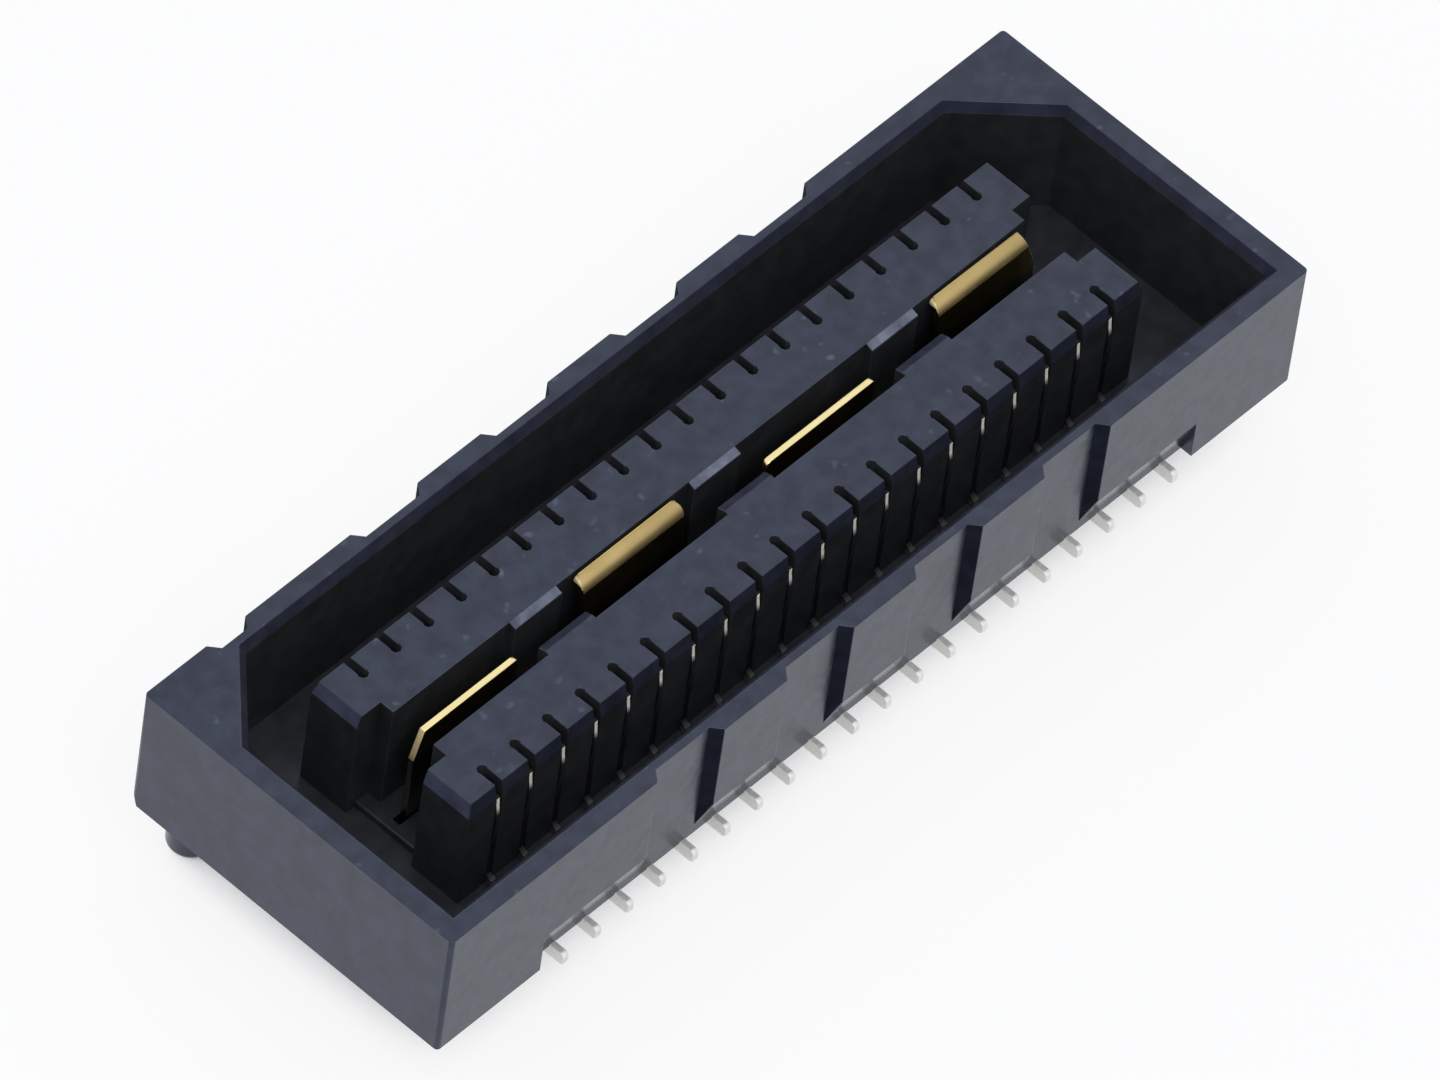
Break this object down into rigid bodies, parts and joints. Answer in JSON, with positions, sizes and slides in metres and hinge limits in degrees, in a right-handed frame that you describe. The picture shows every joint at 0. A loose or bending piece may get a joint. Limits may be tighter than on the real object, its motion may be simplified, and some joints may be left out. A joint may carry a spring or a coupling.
{
  "type": "board to board connector",
  "caption": "Low rectangular surface-mount board to board socket: open-top housing with two slotted contact islands, rows of spring contacts, a ground plane between and locating pins.",
  "frame": {"origin": "middle of the connector on the board's surface, where the undersides of the solder tails and ground feet lie", "axes": "+X along the contact rows, +Y across them towards the keyed rear corners, +Z away from the board towards the mating connector"},
  "size_m": [0.0212, 0.0074, 0.0041],
  "materials": {
    "moulded_housing": "matte",
    "tin_plated_contact": "satin",
    "gold_plated_spring": "satin"
  },
  "bodies": {
    "root": {"housing": "moulded_housing", "ground_plane": "gold_plated_spring", "front_contact_01": "tin_plated_contact", "front_contact_02": "tin_plated_contact", "front_contact_03": "tin_plated_contact", "front_contact_04": "tin_plated_contact", "front_contact_05": "tin_plated_contact", "front_contact_06": "tin_plated_contact", "front_contact_07": "tin_plated_contact", "front_contact_08": "tin_plated_contact", "front_contact_09": "tin_plated_contact", "front_contact_10": "tin_plated_contact", "front_contact_11": "tin_plated_contact", "front_contact_12": "tin_plated_contact", "front_contact_13": "tin_plated_contact", "front_contact_14": "tin_plated_contact", "front_contact_15": "tin_plated_contact", "front_contact_16": "tin_plated_contact", "front_contact_17": "tin_plated_contact", "front_contact_18": "tin_plated_contact", "front_contact_19": "tin_plated_contact", "front_contact_20": "tin_plated_contact", "rear_contact_01": "tin_plated_contact", "rear_contact_02": "tin_plated_contact", "rear_contact_03": "tin_plated_contact", "rear_contact_04": "tin_plated_contact", "rear_contact_05": "tin_plated_contact", "rear_contact_06": "tin_plated_contact", "rear_contact_07": "tin_plated_contact", "rear_contact_08": "tin_plated_contact", "rear_contact_09": "tin_plated_contact", "rear_contact_10": "tin_plated_contact", "rear_contact_11": "tin_plated_contact", "rear_contact_12": "tin_plated_contact", "rear_contact_13": "tin_plated_contact", "rear_contact_14": "tin_plated_contact", "rear_contact_15": "tin_plated_contact", "rear_contact_16": "tin_plated_contact", "rear_contact_17": "tin_plated_contact", "rear_contact_18": "tin_plated_contact", "rear_contact_19": "tin_plated_contact", "rear_contact_20": "tin_plated_contact"}
  },
  "joints": []
}
